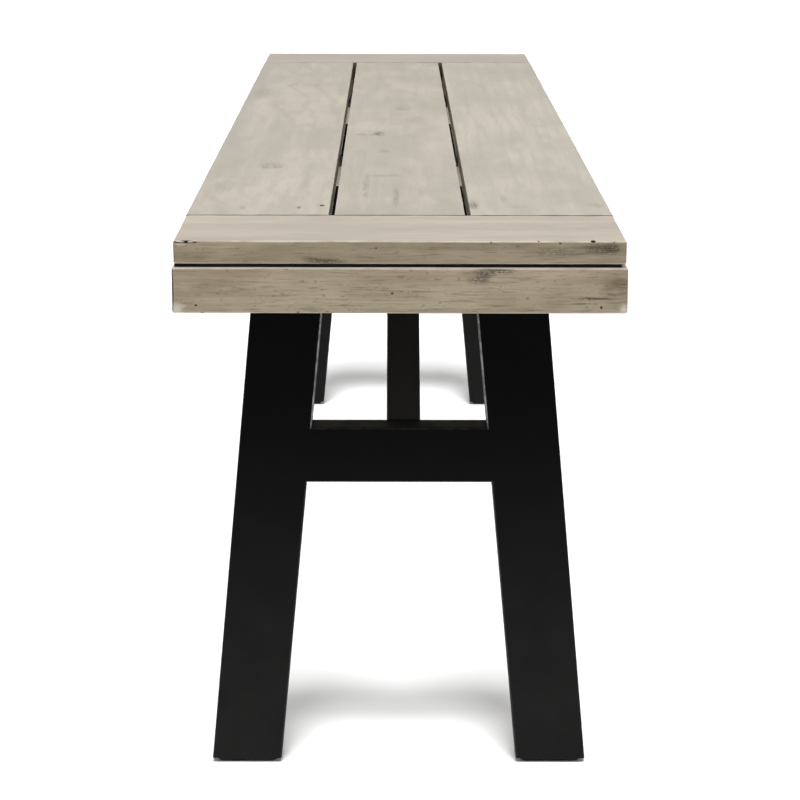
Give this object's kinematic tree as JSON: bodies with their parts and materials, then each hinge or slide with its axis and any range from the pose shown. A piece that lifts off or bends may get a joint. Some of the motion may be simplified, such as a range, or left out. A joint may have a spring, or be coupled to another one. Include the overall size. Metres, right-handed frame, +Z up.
{
  "type": "garden bench",
  "caption": "Backless garden bench: planked wooden seat with breadboard ends and an apron, on two splayed steel H-frames with braces.",
  "frame": {"origin": "on the floor under the middle of the bench", "axes": "+X along the bench to its right end, +Y across to its rear edge, +Z up"},
  "size_m": [1.503, 0.353, 0.465],
  "materials": {
    "seat_wood": "washed light grey-brown stain, satin, worn along the arrises",
    "apron_wood": "grey-brown glaze over fine grain, satin, rubbed dark in patches",
    "hidden_wood": "dark stain, matt",
    "frame_steel": "black powder coat, satin",
    "black_strip": "matt black",
    "foot_plastic": "moulded black plastic",
    "fasteners": "black oxide steel"
  },
  "bodies": {
    "root": {"black_strip_front": "black_strip", "black_strip_left": "black_strip", "black_strip_rear": "black_strip", "black_strip_right": "black_strip", "brace_block_left": "hidden_wood", "brace_block_right": "hidden_wood", "brace_left": "frame_steel", "brace_plate_left": "frame_steel", "brace_plate_right": "frame_steel", "brace_right": "frame_steel", "brace_screw_left_1": "fasteners", "brace_screw_left_2": "fasteners", "brace_screw_right_1": "fasteners", "brace_screw_right_2": "fasteners", "breadboard_left": "seat_wood", "breadboard_right": "seat_wood", "corner_block_left_front": "hidden_wood", "corner_block_left_rear": "hidden_wood", "corner_block_right_front": "hidden_wood", "corner_block_right_rear": "hidden_wood", "cross_batten_left": "apron_wood", "cross_batten_right": "apron_wood", "crossbar_left": "frame_steel", "crossbar_right": "frame_steel", "end_apron_left": "apron_wood", "end_apron_right": "apron_wood", "foot_left_front": "foot_plastic", "foot_left_rear": "foot_plastic", "foot_right_front": "foot_plastic", "foot_right_rear": "foot_plastic", "leg_bolt_left_1": "fasteners", "leg_bolt_left_2": "fasteners", "leg_bolt_left_3": "fasteners", "leg_bolt_left_4": "fasteners", "leg_bolt_right_1": "fasteners", "leg_bolt_right_2": "fasteners", "leg_bolt_right_3": "fasteners", "leg_bolt_right_4": "fasteners", "leg_cleat_left": "hidden_wood", "leg_cleat_right": "hidden_wood", "leg_left_front": "frame_steel", "leg_left_rear": "frame_steel", "leg_right_front": "frame_steel", "leg_right_rear": "frame_steel", "loose_tongue_left_front": "hidden_wood", "loose_tongue_left_middle": "hidden_wood", "loose_tongue_left_rear": "hidden_wood", "loose_tongue_right_front": "hidden_wood", "loose_tongue_right_middle": "hidden_wood", "loose_tongue_right_rear": "hidden_wood", "mounting_plate_left": "frame_steel", "mounting_plate_right": "frame_steel", "seat_plank_front": "seat_wood", "seat_plank_middle": "seat_wood", "seat_plank_rear": "seat_wood", "side_apron_front": "apron_wood", "side_apron_rear": "apron_wood"}
  },
  "joints": []
}
